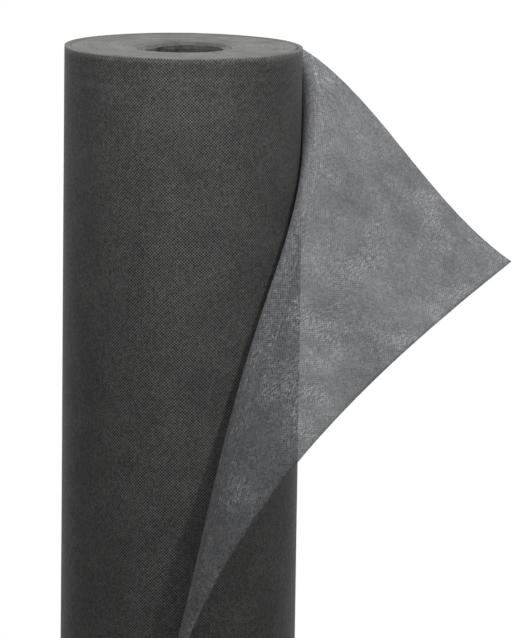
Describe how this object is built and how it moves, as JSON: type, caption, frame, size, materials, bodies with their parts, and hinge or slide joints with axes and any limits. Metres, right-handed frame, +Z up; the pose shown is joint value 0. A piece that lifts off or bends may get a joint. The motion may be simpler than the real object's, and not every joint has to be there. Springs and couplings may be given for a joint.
{
  "type": "fleece roll",
  "caption": "Upright roll of grey nonwoven crop fleece on a recessed winding tube, the free corner of its last turn peeled away and hanging out to one side.",
  "frame": {"origin": "on the roll's axis, in the plane of the end face it stands on", "axes": "+Z up along the roll's axis; -Y is the front, where the free edge of the web lies; +X is the side the peeled corner reaches out to"},
  "size_m": [0.2873, 0.1834, 0.8],
  "materials": {
    "fleece_face": "matte",
    "fleece_back": "matte",
    "fleece_ends": "matte",
    "winding_board": "matte"
  },
  "bodies": {
    "roll": {"winding_tube": "winding_board", "tight_turns": "fleece_ends", "bore_turns": "fleece_ends", "rim_turns": "fleece_face", "outer_ply": "fleece_face", "peeled_ply": "fleece_back"},
    "corner": {"loose_corner": "fleece_back"}
  },
  "joints": [
    {"name": "corner_swing", "type": "hinge", "parent": "roll", "child": "corner", "pos_m": [0.1027, -0.0814, 0.58335], "axis": [-0.0429, 0.5001, 0.8649], "range_deg": [-60, 50]}
  ]
}
